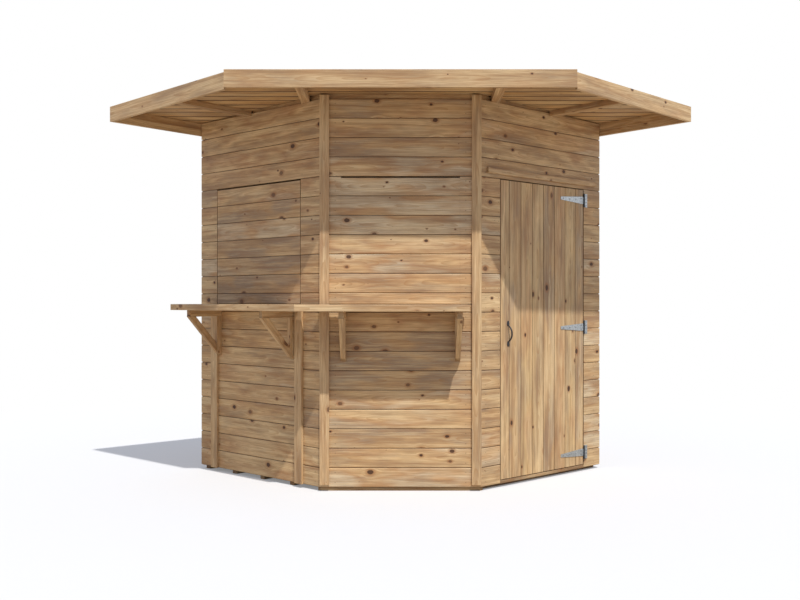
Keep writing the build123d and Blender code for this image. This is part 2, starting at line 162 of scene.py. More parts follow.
def bars(cornerList, outline, endEase=1.0, wander=0.0, tones=None, starts=None, joints=edgeFaces):
    # many bars at once: an outline is carried from one end quad of each bar to the other, a
    # point being the mix of the eight corners by its shares of length, width and thickness;
    # bars given the same tone and start look like one length of timber
    c = np.array(cornerList, float)
    count = len(c)
    c[:, :, :, 0] -= wander * dice.normal(size=(count, 1, 1, 1)) * unit(spanOf(c, 3))[:, None, None, :]
    way = unit(spanOf(c, 1))
    over = spanOf(c, 2)
    over = unit(over - way * (over * way).sum(1, keepdims=True))
    through = np.cross(way, over)
    wrong = (spanOf(c, 3) * through).sum(1) < 0
    c[wrong] = c[wrong][:, :, ::-1]
    over[wrong] *= -1
    through[wrong] *= -1
    length, width, thick = [np.linalg.norm(spanOf(c, axis), axis=1)[:, None] for axis in (1, 2, 3)]
    o = np.array(outline, float)
    step = endEase / length
    u = np.concatenate([0 * step, step, 1 - step, 1 + 0 * step], 1)[:, :, None]
    draw = endDraw * endEase * np.array([1.0, 0.0, 0.0, 1.0])[:, None]
    s = (o[:, 0] + o[:, 1] / width)[:, None, :]
    t = (o[:, 2] + o[:, 3] / thick)[:, None, :]
    s = 0.5 + (s - 0.5) * (1 - draw / width[..., None])
    t = 0.5 + (t - 0.5) * (1 - draw / thick[..., None])
    points = 0.0
    for i in (0, 1):
        for j in (0, 1):
            for k in (0, 1):
                share = (u if i else 1 - u) * (s if j else 1 - s) * (t if k else 1 - t)
                points = points + share[..., None] * c[:, i, j, k][:, None, None, :]
    middle = c.mean((1, 2, 3))[:, None, None, :]
    start = dice.uniform(0, grainReach, (count, 1, 1))
    tone = dice.uniform(0, 1, count)
    if starts is not None:
        start = np.reshape(starts, (count, 1, 1)) + metre * (middle * way[:, None, None, :]).sum(-1)
        tone = np.asarray(tones, float)
    axes = np.stack([way, over, through], -1)[:, None, None]
    grain = metre * ((points - middle)[..., None] * axes).sum(-2)
    grain[..., 0] += start
    m = len(o)
    ring = np.arange(m)
    nextRing = (ring + 1) % m
    first = (np.arange(count) * 4 * m)[:, None]
    base = first[..., None] + (np.arange(3) * m)[:, None]
    quads = np.stack([base + ring, base + nextRing, base + nextRing + m, base + ring + m], -1)
    caps = np.concatenate([first + ring[::-1], first + 3 * m + ring])
    return {
        "points": points.reshape(-1, 3),
        "faces": [quads.reshape(-1, 4), caps],
        "finish": [np.zeros(quads.size // 4, int), np.ones(len(caps), int)],
        "narrow": [np.tile(joints, count * 3), np.zeros(len(caps))],
        "grain": grain.reshape(-1, 3),
        "tone": np.repeat(tone, 4 * m),
    }


def plainPart(points, faces):
    # points and faces of metal or felt, all in one finish
    points = points.reshape(-1, 3)
    return {
        "points": points,
        "faces": faces,
        "finish": [np.zeros(len(f), int) for f in faces],
        "narrow": [np.zeros(len(f)) for f in faces],
        "grain": points * metre,
        "tone": np.zeros(len(points)),
    }


def sheetOf(points, endCaps=False):
    # joins a grid of points [rows, round] into faces, round its second way without a seam
    rows, around = points.shape[:2]
    i = np.arange(rows - 1)[:, None]
    j = np.arange(around)[None, :]
    k = (j + 1) % around
    quads = np.stack([i * around + j, i * around + k, (i + 1) * around + k, (i + 1) * around + j], -1)
    faces = [quads.reshape(-1, 4)]
    if endCaps:
        faces.append(np.stack([j[0, ::-1], (rows - 1) * around + j[0]]))
    return plainPart(points, faces)


def around(count):
    # equal steps of angle, once round
    return np.arange(count) * 2 * pi / count


def turned(profile, sides=24):
    # surface of revolution: radius and height along a profile, turned round the z axis
    radius, height = np.array(profile, float).T
    x = radius[:, None] * np.cos(around(sides))
    y = radius[:, None] * np.sin(around(sides))
    return sheetOf(np.stack([x, y, height[:, None] + 0 * x], -1), endCaps=True)


def moved(part, wall, place, upright=True):
    # sets a part drawn round its own z axis on a wall; not upright turns that axis to face out
    p = part["points"]
    if not upright:
        p = np.stack([p[:, 0], -p[:, 2], p[:, 1]], -1)
    return {**part, "points": onWall(wall, p + np.array(place, float))}


def placed(name, data):
    # an object in the scene for a mesh, a lamp or a camera
    thing = bpy.data.objects.new(name, data)
    bpy.context.scene.collection.objects.link(thing)
    return thing


def makePiece(name, parts, finishes, replaced, body="bar", smooth=False):
    # joins parts into one mesh with its grain place and board tone stored on the points
    counts = np.cumsum([0] + [len(p["points"]) for p in parts])
    points = np.concatenate([p["points"] for p in parts]) * metre
    points[:, 1] -= centreY * metre
    faces = []
    for part, start in zip(parts, counts):
        for block in part["faces"]:
            faces += (block + start).tolist()
    mesh = bpy.data.meshes.new(name)
    mesh.from_pydata(points.tolist(), [], faces)
    finish, narrow = [np.concatenate([f for p in parts for f in p[key]]) for key in ("finish", "narrow")]
    mesh.polygons.foreach_set("material_index", np.minimum(finish, len(finishes) - 1))
    mesh.polygons.foreach_set("use_smooth", np.full(len(faces), smooth))
    for key, kind, field in (("grain", "FLOAT_VECTOR", "vector"), ("tone", "FLOAT", "value")):
        values = np.concatenate([p[key] for p in parts]).astype(np.float32)
        mesh.attributes.new(key, kind, "POINT").data.foreach_set(field, values.ravel())
    edges = mesh.attributes.new("narrow", "FLOAT", "FACE")
    edges.data.foreach_set("value", narrow.astype(np.float32))
    for finishUsed in finishes:
        mesh.materials.append(finishUsed)
    mesh.update()
    piece = placed(name, mesh)
    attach(piece, body)
    if replaced:
        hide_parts(*replaced)


def timber(name, cornerList, woods, slotName, replaced, ease=building["sawnEase"], endEase=1.0, body="bar"):
    # bars with eased edges, as one piece that takes one CAD node's place
    makePiece(name, [bars(cornerList, easedEdges(ease), endEase)], woods, [replaced], body)


def hexColour(text):
    # sRGB hex to the linear numbers that the shaders take
    value = np.array([int(text[i:i + 2], 16) for i in (1, 3, 5)]) / 255
    linear = np.where(value <= 0.04045, value / 12.92, ((value + 0.055) / 1.055) ** 2.4)
    return (*[float(v) for v in linear], 1.0)


def fill(node, inputs):
    # each input, by place or name, is linked or given a value
    for key, value in inputs.items() if isinstance(inputs, dict) else enumerate(inputs):
        if isinstance(value, bpy.types.NodeSocket):
            node.id_data.links.new(value, node.inputs[key])
        else:
            node.inputs[key].default_value = value


def addNode(tree, kind, inputs, out=0, **settings):
    # one node with its settings and links; gives back one output, which leads to its others
    node = tree.nodes.new("ShaderNode" + kind)
    for key, value in settings.items():
        setattr(node, key, value)
    fill(node, inputs)
    return node.outputs[out]


def newFinish(name, inputs):
    # a material, its surface shader, and the node helper bound to its tree
    material = bpy.data.materials.new(name)
    material.use_nodes = True
    surface = material.node_tree.nodes["Principled BSDF"]
    fill(surface, {"IOR": 1.5, **inputs})
    return material, surface, partial(addNode, material.node_tree)


# Scots pine and spruce, planed or sawn: satin, pale straw to honey, with darker summer-wood
# lines running lengthwise, which swing round small brown knots
wood = {
    "boards": [
        "#A88F73", "#C9A373", "#D8B280", "#BF9367", "#E6C491", "#C4A47A", "#DFB883", "#C99D6F", "#E0CBA8"
    ],
    "lateWood": "#A4733F", "streak": "#8D6640", "knot": "#432611", "knotRim": "#93582A",
    # joint is the painted shade in the grooves on the narrow faces, and the darker end grain on the bars'
    # ends
    "lightStreak": "#EED2A2", "greyed": "#8C7762", "reddened": "#BA804F", "joint": "#4B2F17",
    "knotSpacing": 170.0, "knotRadius": 14.5,
    "knotShare": 0.42,  # higher leaves more places without a knot
    "knotShape": (0.7, 1.0, 0.0),  # longer than wide
    "knotScatter": 0.95, "leastKnot": 0.0001, "palestKnot": 0.6,
    "ragged": (90.0, 110.0, 110.0),  # waves a metre in the knots' outlines
    "raggedDepth": 0.0025,
    # a knot's dark middle, its rim, and the lines it pulls round itself: where each starts and is
    # full, in knot radii, and its greatest share
    "knotZones": ((1.05, 0.8, 1), (2.1, 1.0, 1), (3.6, 0.5, 0.92)),
    "ringSpacing": 8.0,  # drawn coarser than the real 3 mm so that it shows
    "ringWobble": 0.004, "ringSharpness": 2.5,
    "driftSpan": (0.25, 0.75), "blotchSpan": (0.3, 0.7),  # between these a noise mostly lies
    "pithDepth": (0.004, 0.062),  # the rings' middle lies this many metres below the board
    "edgeShift": 3.3,  # the pattern on a board's narrow edges is taken this many metres further on
    "toneDrift": 0.22, "greyWeight": 0.62, "redWeight": 0.28, "patchWeight": 0.52, "streakWeight": 0.56,
    "ringWeight": 0.46, "fibreWeight": 0.2, "rimWeight": 0.5, "jointWeight": 0.0, "endWeight": 0.35,
    "roughness": 0.62, "bump": 0.25, "bumpDepth": 0.0006,
    "ringRelief": 0.6, "fibreRelief": 0.6, "knotRelief": -0.5,
}

# the wood's noises: waves a metre along the grain and across it, detail and roughness
woodNoises = {
    "drift": (1.3, 2.5, 1.0, 0.5), "wobble": (5.0, 38.0, 2.0, 0.5), "blotch": (2.4, 9.0, 2.0, 0.5),
    "cloud": (4.0, 17.0, 3.0, 0.6), "flush": (6.1, 12.0, 2.0, 0.5),
    "weather": (1.3, 7.0, 1.0, 0.5),  # long patches from sun and damp
    "streak": (2.4, 52.0, 4.0, 0.7),
    "fibre": (22.0, 620.0, 2.0, 0.5),  # much coarser than real fibres, so that it shows
}
roundKnots = ("streak", "fibre")  # these are carried round the knots with the rings


def woodFinish(name, look, endGrain=False):
    # the board's own tone with knots, rings, streaks and weather mixed over it, layer on layer
    material, surface, add = newFinish(name, {"Roughness": look["roughness"]})
    raw, tone, narrow = [
        add("Attribute", {}, out, attribute_name=key)
        for key, out in (("grain", "Vector"), ("tone", "Fac"), ("narrow", "Fac"))
    ]
    # on a board's narrow edges the pattern is turned, so that knots aren't drawn as bands
    x, y, z = add("SeparateXYZ", [raw]).node.outputs
    shifted = add("Math", [x, look["edgeShift"]])
    turnedRound = add("CombineXYZ", [shifted, z, y])
    grain = add("Mix", {0: narrow, 4: raw, 5: turnedRound}, 1, data_type="VECTOR")
    along, across, through = add("SeparateXYZ", [grain]).node.outputs
    # a knot in each cell: its ragged distance from the cell's point over its own radius
    cells = 1 / (look["knotSpacing"] * metre)
    inputs = {"Vector": grain, "Scale": cells, "Randomness": look["knotScatter"]}
    cell = add("TexVoronoi", inputs, "Position", voronoi_dimensions="2D")
    draw = add("SeparateColor", [cell.node.outputs["Color"]]).node.outputs
    away = add("VectorMath", [grain, cell], operation="SUBTRACT")
    oval = add("VectorMath", [away, look["knotShape"]], operation="MULTIPLY")
    reach = add("VectorMath", [oval], "Value", operation="LENGTH")
    place = add("VectorMath", [grain, look["ragged"]], operation="MULTIPLY")
    ragged = add("TexNoise", {"Vector": place, "Scale": 1.0, "Detail": 2.0, "Roughness": 0.5})
    ragged = add("MapRange", [ragged, 0, 1, -look["raggedDepth"], look["raggedDepth"]])
    reach = add("Math", [reach, ragged])
    # most knots are small: a knot's radius goes with the square of its draw
    luck = add("MapRange", [draw[0], look["knotShare"], 1, 0, 1])
    luck = add("Math", [luck, 2.0], operation="POWER")
    size = [luck, look["knotRadius"] * metre, look["leastKnot"]]
    size = add("Math", size, operation="MULTIPLY_ADD")
    ratio = add("Math", [reach, size], operation="DIVIDE")
    knot, rim, pull = [
        add("MapRange", [ratio, far, near, 0, most], interpolation_type="SMOOTHSTEP")
        for far, near, most in look["knotZones"]
    ]
    firm = add("MapRange", [draw[1], 0, 1, look["palestKnot"], 1])
    awayAcross = add("SeparateXYZ", [away], "Y")
    pulled = add("Math", [awayAcross, pull], operation="MULTIPLY")
    flow = add("Math", [across, pulled], operation="SUBTRACT")
    carried = add("CombineXYZ", [along, flow, through])
    noises = {}
    for key, (wavesAlong, wavesAcross, detail, coarse) in woodNoises.items():
        stretch = [carried if key in roundKnots else grain, (wavesAlong, wavesAcross, wavesAcross)]
        place = add("VectorMath", stretch, operation="MULTIPLY")
        inputs = {"Vector": place, "Scale": 1.0, "Detail": detail, "Roughness": coarse}
        noises[key] = add("TexNoise", inputs)
    # growth rings: distance from a pith that lies below the board and drifts along it
    depth = add("MapRange", [noises["drift"], *look["driftSpan"], *look["pithDepth"]])
    depth = add("Math", [depth, through])
    pith = add("CombineXYZ", {1: flow, 2: depth})
    radius = add("VectorMath", [pith], "Value", operation="LENGTH")
    wobble = add("MapRange", [noises["wobble"], 0, 1, -look["ringWobble"], look["ringWobble"]])
    radius = add("Math", [radius, wobble])
    phase = add("Math", [radius, look["ringSpacing"] * metre], operation="DIVIDE")
    late = add("Math", [phase], operation="FRACT")
    late = add("Math", [late, look["ringSharpness"]], operation="POWER")
    drift = look["toneDrift"]
    blotch = add("MapRange", [noises["blotch"], *look["blotchSpan"], -drift, drift])
    shade = add("Math", [tone, blotch])
    colour = add("ValToRGB", [shade])
    stops = colour.node.color_ramp.elements
    share = 1 / (len(look["boards"]) - 1)
    for index, text in enumerate(look["boards"]):
        stop = stops[index] if index < 2 else stops.new(index * share)
        stop.position = index * share
        stop.color = hexColour(text)
    # layers over the board's tone: pattern, where it starts and is full, greatest share, colour
    layers = [
        (noises["cloud"], 0.46, 0.74, look["greyWeight"], "greyed"),
        (noises["flush"], 0.5, 0.75, look["redWeight"], "reddened"),
        (noises["weather"], 0.5, 0.3, look["patchWeight"], "lightStreak"),
        (noises["weather"], 0.5, 0.7, look["patchWeight"], "greyed"),
        (noises["streak"], 0.5, 0.31, look["streakWeight"], "lightStreak"),
        (noises["streak"], 0.47, 0.69, look["streakWeight"], "streak"),
        (late, 0, 1, look["ringWeight"], "lateWood"),
        (noises["fibre"], 0.35, 0.7, look["fibreWeight"], "streak"),
        (rim, 0, 1, look["rimWeight"], "knotRim"),
        (knot, 0, 1, firm, "knot"),
        (narrow, 0, 1, look["jointWeight"], "joint"),  # painted shade: the joints' narrow faces drawn darker, as the shade in the grooves
    ]
    if endGrain:
        layers.append((1.0, 0, 1, look["endWeight"], "joint"))
    for pattern, low, high, weight, key in layers:
        amount = add("MapRange", [pattern, low, high, 0, weight])
        inputs = {0: amount, 6: colour, 7: hexColour(look[key])}
        colour = add("Mix", inputs, 2, data_type="RGBA")
    # summer wood and fibres stand up a little, knots lie lower
    relief = 0.0
    for pattern, key in ((late, "ringRelief"), (noises["fibre"], "fibreRelief"), (knot, "knotRelief")):
        relief = add("Math", [pattern, look[key], relief], operation="MULTIPLY_ADD")
    inputs = {"Strength": look["bump"], "Distance": look["bumpDepth"], "Height": relief}
    fill(surface, {"Base Color": colour, "Normal": add("Bump", inputs)})
    return material


def woodPair(name, **changes):
    # one wood's finish, and the same for its end grain
    look = {**wood, **changes}
    return [woodFinish(name, look), woodFinish(name + "EndGrain", look, True)]


doorTones = ["#B59D80", "#D0AB7B", "#DDB988", "#CBA073", "#E7C693", "#CDB084", "#E2C089", "#D4AA7A"]
trimTones = ["#C39E72", "#D4AF80", "#D7B485", "#C9A479"]
sawnTones = ["#BE9768", "#CFA878", "#C39C6E", "#B48D62"]
roofTones = ["#AA8256", "#DDB073", "#BE915C", "#D6A66A", "#B08654", "#E2B679"]
dampTones = ["#8E7050", "#9C7C5A", "#86694B", "#A08462"]
# on cladding, door and roof boards the joints' narrow faces are painted darker as shade
claddingWood = woodPair("planedPineCladding", jointWeight=0.8, endWeight=0.6)
doorWood = woodPair("planedPineDoorBoards", boards=doorTones, knotSpacing=200.0, jointWeight=0.8)
trimWood = woodPair("planedPineTrim", boards=trimTones, knotSpacing=190.0)
eavesWood = woodPair("planedPineEavesBoard", boards=["#C19E72", "#D1AD7E"], knotSpacing=150.0)
sawnWood = woodPair("sawnSpruceFraming", boards=sawnTones, roughness=0.8, bump=0.5)
soffitWood = woodPair("planedSpruceRoofBoards", boards=roofTones, knotSpacing=240.0, jointWeight=0.9)
weatheredWood = woodPair("dampSpruceBearers", boards=dampTones, roughness=0.85, bump=0.5)
print("wood finishes made")

# a speckle, grit or wear is waves a metre, detail and roughness of a noise
# mild steel, bright zinc plated: cool blue-grey, satin, with faint cloudy spangle
zincLook = {
    "shader": {"Roughness": 0.42, "Metallic": 1.0},
    "colours": ("#959DA6", "#C9CED3"),
    "speckle": (140.0, 3.0, 0.5), "range": (0.3, 0.7), "roughnesses": (0.36, 0.52),
    "grit": (900.0, 2.0, 0.5),
    "bump": {"Strength": 0.15, "Distance": 0.0003},
}
# cast iron under a black coat: near black, soft sheen, slightly pebbled
ironLook = {
    "shader": {"Roughness": 0.42},
    "colours": ("#17181B", "#2B2C31"),
    "speckle": (420.0, 3.0, 0.5), "range": (0.3, 0.7), "grit": (420.0, 3.0, 0.5),
    "bump": {"Strength": 0.35, "Distance": 0.0005},
}
# bitumen roofing felt faced with slate granules: matt charcoal grey with lighter grains, dulled
# in wide clouds; the granules are drawn at about 2.5 mm, coarser than real, so that they show
feltLook = {
    "shader": {"Roughness": 0.92},
    "colours": ("#3C4142", "#6E7474"),
    "speckle": (380.0, 3.0, 0.7), "range": (0.42, 0.62), "grit": (380.0, 3.0, 0.7),
    "wear": (2.2, 3.0, 0.5), "wearRange": (0.35, 0.7), "wearWeight": 0.4, "worn": "#4A4E4B",
    "bump": {"Strength": 0.6, "Distance": 0.001},
}
# bare steel gone dull on a nail's head, brown-grey and rough; in near-black, the same look paints shade
# into the screw slots and rims and onto the hinge barrels
dullSteelAndShadeLook = {
    "shader": {"Roughness": 0.6, "Metallic": 0.6}, "speckle": (500.0, 2.0, 0.5), "range": (0.3, 0.7)
}


def speckledFinish(name, look):
    # two colours mixed by a noise on the object's own coordinates, a third by wide clouds, and
    # bump from a finer noise, each where the look has it
    material, surface, add = newFinish(name, look["shader"])
    place = add("TexCoord", {}, "Object")
    noises = {}
    for key in [key for key in ("speckle", "grit", "wear") if key in look]:
        waves, detail, coarse = look[key]
        inputs = {"Vector": place, "Scale": waves, "Detail": detail, "Roughness": coarse}
        noises[key] = add("TexNoise", inputs)
    dark, light = [hexColour(text) for text in look["colours"]]
    amount = add("MapRange", [noises["speckle"], *look["range"], 0, 1])
    colour = add("Mix", {0: amount, 6: dark, 7: light}, 2, data_type="RGBA")
    if "wear" in look:
        amount = add("MapRange", [noises["wear"], *look["wearRange"], 0, look["wearWeight"]])
        inputs = {0: amount, 6: colour, 7: hexColour(look["worn"])}
        colour = add("Mix", inputs, 2, data_type="RGBA")
    fill(surface, {"Base Color": colour})
    if "roughnesses" in look:
        rough = add("MapRange", [noises["speckle"], *look["range"], *look["roughnesses"]])
        fill(surface, {"Roughness": rough})
    if "grit" in look:
        fill(surface, {"Normal": add("Bump", {**look["bump"], "Height": noises["grit"]})})
    return material


zincSteel = speckledFinish("zincPlatedSteel", zincLook)
# the screws' slots and head rims are painted near-black as shade
paintedScrewShade = speckledFinish("paintedScrewSlotShade", {**dullSteelAndShadeLook, "colours": ("#1E2126", "#3A3E45")})
# the hinge barrels are painted dark as the shade along the knuckle
paintedBarrelShade = speckledFinish("paintedHingeBarrelShade", {**dullSteelAndShadeLook, "colours": ("#33373D", "#555B63")})
hingeFinishes = [zincSteel, paintedScrewShade, paintedBarrelShade]
nailSteel = speckledFinish("dullNailSteel", {**dullSteelAndShadeLook, "colours": ("#5B4A39", "#7C6850")})
blackIron = speckledFinish("blackCoatedIron", ironLook)
granuleFelt = speckledFinish("slateGranuleFelt", feltLook)
print("metal and felt finishes made")


cladding = {
    "rows": 21,
    "leastHigh": 8.0,  # a row cut lower than this is left out
    "joint": 3.2,  # visible width of the shadow line between two boards
    "ease": 3.6, "endEase": 0.5, "rebate": 5.0,
    "uneven": 0.35,  # boards stand this much proud of each other, on average
    "hatchFar": 180.0, "hatchNear": 176.0, "frontStrip": 126.5, "doorNear": 173.0, "doorFar": 182.0,
    "leftTones": {9: 0.0, 10: 0.07, 11: 0.07, 12: 0.07},  # rows drawn darker and greyer, the lowest darkest
    "frontTones": {5: 0.04, 6: 0.04, 7: 0.04, 13: 1.0, 14: 1.0, 15: 1.0},  # rows 5 to 7 drawn dark and grey, rows 13 to 15 drawn palest
}
boardOutline = rebatedEdges(cladding["joint"] / 2, cladding["ease"], cladding["rebate"])
hatchSpan = (cladding["hatchFar"], sideWidth - cladding["hatchNear"])
frontSpan = (cladding["frontStrip"], frontWidth - cladding["frontStrip"])
doorSpan = (cladding["doorNear"], sideWidth - cladding["doorFar"])


def inside(span):
    # an opening's two edges, each a fit's breadth clear
    return (span[0] + fit, span[1] - fit)


def boardRows(low, high):
    # the cladding's rows between two heights, with cut rows where an opening needs them
    edges = bottom + np.arange(cladding["rows"] + 1) * building["pitch"]
    rows = [(max(low, start), min(high, end)) for start, end in zip(edges, edges[1:])]
    return [(start, end) for start, end in rows if end - start > cladding["leastHigh"]]


def clad(wall, span, heights, cuts=(0.0, 0.0), underRoof=False):
    # one board for each row; cuts shorten a board's rear at a mitred corner, and boards under
    # the roof end along its slope, as high as it is over the wall's outer face
    found = []
    for low, high in boardRows(*heights):
        corners = blockCorners(span, (0.0, square), (low, high))
        corners[0, :, 1, 0] += cuts[0]
        corners[1, :, 1, 0] -= cuts[1]
        if underRoof:
            back = onWall(wall, corners[:, 1] * (1, 0, 0))[..., 1]
            corners[:, 1, :, 2] = np.minimum(corners[:, 1, :, 2], roofLine - building["fall"] * back)
        found.append(onWall(wall, corners))
    return found


def cladBoards(cornerList, rowTones=None, rowStarts=None):
    # boards of one row can share a tone and a grain, as where a hatch was cut from the wall
    shape = (boardOutline, cladding["endEase"], cladding["uneven"])
    if rowTones is None:
        return bars(cornerList, *shape)
    heights = np.array(cornerList)[..., 2].mean((1, 2, 3))
    row = ((heights - bottom) / building["pitch"]).astype(int)
    return bars(cornerList, *shape, rowTones[row], rowStarts[row])


def rowDraws(known):
    # a random tone and grain start for each row, with the tones that are known put in
    tones = dice.uniform(0, 1, cladding["rows"])
    starts = dice.uniform(0, grainReach, cladding["rows"])
    tones[list(known)] = list(known.values())
    return tones, starts


frontRows = rowDraws(cladding["frontTones"])
leftRows = rowDraws(cladding["leftTones"])
rearRun = [[(0, squareSide), (bottom, wallTop), (square, square), True]]
cladRuns = {
    "left": [
        [(0, hatchSpan[0]), (bottom, headHeight), (square, 0)],
        [(hatchSpan[1], sideWidth), (bottom, headHeight), (0, blunt)],
        [(0, sideWidth), (headHeight, wallTop), (square, blunt)],
        [inside(hatchSpan), (bottom, sill)],
    ],
    "front": [
        [(0, frontWidth), (bottom, sill - fit), (blunt, blunt)],
        [(0, frontWidth), (headHeight, wallTop), (blunt, blunt)],
        [(0, frontSpan[0]), (sill, headHeight - fit), (blunt, 0)],
        [(frontSpan[1], frontWidth), (sill, headHeight - fit), (0, blunt)],
    ],
    "right": [
        [(0, doorSpan[0]), (bottom, headHeight), (blunt, 0)],
        [(doorSpan[1], sideWidth), (bottom, headHeight), (0, square)],
        [(0, sideWidth), (headHeight, wallTop), (blunt, square)],
    ],
    "rearLeft": rearRun,
    "rearRight": rearRun,
}
for wall, name, nodes, rows in (
    ("left", "left", ["left_wall"], ()),
    ("front", "front", ["front_wall"], frontRows),
    ("right", "right", ["right_near_pier", "right_far_pier", "right_over_door"], ()),
    ("rearLeft", "rear_left", ["rear_left_wall"], ()),
    ("rearRight", "rear_right", ["rear_right_wall"], ()),
):
    found = [board for run in cladRuns[wall] for board in clad(wall, *run)]
    makePiece(name + "_cladding", [cladBoards(found, *rows)], claddingWood, nodes)
print("cladding made")


hatch = {
    "ledgeWide": 70.0, "ledgeThick": 24.0, "ledgeEnd": 40.0, "headGap": 7.0, "leftGap": 5.0,
    "frontGap": 0.3,
}
for wall, span, rows in (("left", hatchSpan, leftRows), ("front", frontSpan, frontRows)):
    gap = hatch[wall + "Gap"]
    x = (span[0] + gap, span[1] - gap)
    heights = (sill + fit, headHeight - hatch["headGap"])
    boards = cladBoards(clad(wall, x, heights), *rows)
    inner = (x[0] + hatch["ledgeEnd"], x[1] - hatch["ledgeEnd"])
    y = (frameFace, frameFace + hatch["ledgeThick"])
    ledges = []
    for low in (heights[0] + hatch["ledgeEnd"], heights[1] - hatch["ledgeEnd"] - hatch["ledgeWide"]):
        ledges.append(blockOn(wall, inner, y, (low, low + hatch["ledgeWide"])))
    parts = [boards, bars(ledges, easedEdges(building["sawnEase"]))]
    makePiece(wall + "_hatch_boards", parts, claddingWood, [wall + "_hatch"])
print("hatches made")


# framing behind the boards
framing = {"floorTop": 58.0, "plate": 58.0, "rearBays": 3}
cornerPost = frameBack * mitre + fit
plateLow = roofLine - framing["plate"]


def crossing(first, firstOffset, second, secondOffset):
    # plan point where two wall lines meet, each moved outwards by its offset
    a, b = radians(wallFrames[first][2] - 90), radians(wallFrames[second][2] - 90)
    pa = wallFrames[first][0] * cos(a) + wallFrames[first][1] * sin(a) + firstOffset
    pb = wallFrames[second][0] * cos(b) + wallFrames[second][1] * sin(b) + secondOffset
    det = cos(a) * sin(b) - sin(a) * cos(b)
    return ((pa * sin(b) - pb * sin(a)) / det, (cos(a) * pb - cos(b) * pa) / det)


def planOutline(front, side, rear):
    # the plan's five corners, the walls' lines moved outwards by these offsets
    offsets = {"front": front, "right": side, "rearRight": rear, "rearLeft": rear, "left": side}
    found = []
    for index, name in enumerate(wallOrder):
        before = wallOrder[index - 1]
        found.append(crossing(before, offsets[before], name, offsets[name]))
    return np.array(found)


def slopeAt(height):
    # a plane parallel to the roof, as height for each distance back from the front wall
    return lambda y: height - building["fall"] * y


def levelAt(height):
    # a level plane, in the same form
    return lambda y: height + 0 * y


def edgeBar(wall, outer, inner, low, high):
    # a bar along one wall between two plan outlines, its heights worked out at each corner
    start = wallOrder.index(wall)
    end = (start + 1) % len(wallOrder)
    corners = np.zeros((2, 2, 2, 3))
    for i, corner in enumerate((start, end)):
        for k, outline in enumerate((outer, inner)):
            corners[i, :, k, :2] = outline[corner]
    corners[:, 0, :, 2] = low(corners[:, 0, :, 1])
    corners[:, 1, :, 2] = high(corners[:, 1, :, 1])
    return corners


def postOn(wall, x, y, foot, across, surface):
    # an upright timber on a wall, cut off along a sloping plane
    corners = blockOn(wall, x, y, (foot, wallTop), "z" + across)
    corners[1, :, :, 2] = surface(corners[1, :, :, 1])
    return corners


def framed(wall, posts, rails):
    # top plate, posts as (start, width) and rails as (start, end, height)
    outer = planOutline(-frameFace, -frameFace, -frameFace)
    inner = planOutline(-frameBack, -frameBack, -frameBack)
    found = [edgeBar(wall, outer, inner, slopeAt(plateLow), slopeAt(roofLine))]
    y = (frameFace, frameBack)
    for start, wide in posts:
        x = (start, start + wide)
        found.append(postOn(wall, x, y, framing["floorTop"], "y", slopeAt(plateLow - fit)))
    for start, end, low in rails:
        found.append(blockOn(wall, (start, end), y, (low, low + stud), "xy"))
    return found


firstRail = framing["floorTop"]
postEnd = frameBack + fit
leftStarts = (postEnd, hatchSpan[0] - stud, hatchSpan[1], sideWidth - cornerPost - stud)
rightStarts = (cornerPost, doorSpan[0] - stud, doorSpan[1], sideWidth - frameBack - fit - stud)
frontPosts = [(start, frontSpan[0] - cornerPost) for start in (cornerPost, frontSpan[1])]
rearStep = (squareSide - 2 * postEnd - stud) / framing["rearBays"]
rearPosts = [(postEnd + i * rearStep, stud) for i in range(framing["rearBays"] + 1)]
rearRails = []
for start, _ in rearPosts[:-1]:
    for z in (firstRail, sill - stud):
        rearRails.append((start + stud + fit, start + rearStep - fit, z))
leftRails, frontRails = [
    [(*inside(span), z) for z in (firstRail, sill - stud, headHeight)] for span in (hatchSpan, frontSpan)
]
for wall, name, posts, rails in (
    ("left", "left_wall", [(start, stud) for start in leftStarts], leftRails),
    ("front", "front_wall", frontPosts, frontRails),
    ("right", "right_wall", [(start, stud) for start in rightStarts], [(*inside(doorSpan), headHeight)]),
    ("rearLeft", "rear_left", rearPosts, rearRails),
    ("rearRight", "rear_right", rearPosts, rearRails),
):
    timber(name + "_studs", framed(wall, posts, rails), sawnWood, "frame_timber", name + "_frame")
print("framing made")


# upright boards at the corners
trims = {"wide": 57.0, "thick": 18.0, "foot": 37.0, "rise": 21.0, "rearTop": 2269.4}
trimEases = (2.2, 1.5)  # of its corners and its ends
outside = (-trims["thick"] - fit, -fit)
frontTrims = []
for start in (0, frontWidth - trims["wide"]):
    heights = (trims["foot"], wallTop + trims["rise"])
    frontTrims.append(blockOn("front", (start, start + trims["wide"]), outside, heights, "zx"))
cornerEnd = squareSide + trims["thick"] + fit
rearTrims = []
for wall, start in (("rearRight", cornerEnd - trims["wide"]), ("rearLeft", 0)):
    x = (start, start + trims["wide"])
    rearTrims.append(postOn(wall, x, outside, trims["foot"], "x", slopeAt(trims["rearTop"] - fit)))
for name, posts in (("front", frontTrims), ("rear", rearTrims)):
    timber(name + "_corner_boards", posts, trimWood, "cladding_boards", name + "_corner_trims", *trimEases)

counter = {"thick": 38.5, "depth": 295.0, "notch": 40.0, "pastHatch": 99.0, "pastFront": 39.5, "ease": 2.5}
underCounter = sill - counter["thick"]
batten = {"wide": 68.0, "thick": 17.0, "nearLap": 41.0, "farLap": 20.0, "ease": 2.0}
softEnd = 1.2
battens = []
for end in (hatchSpan[1] + batten["wide"] - batten["nearLap"], hatchSpan[0] + batten["farLap"]):
    x, y = (end - batten["wide"], end), (-batten["thick"] - fit, -fit)
    battens.append(blockOn("left", x, y, (bottom, underCounter - fit), "zx"))
eases = (batten["ease"], softEnd)
timber("left_cover_strips", battens, trimWood, "cladding_boards", "left_wall_battens", *eases)
print("trims made")


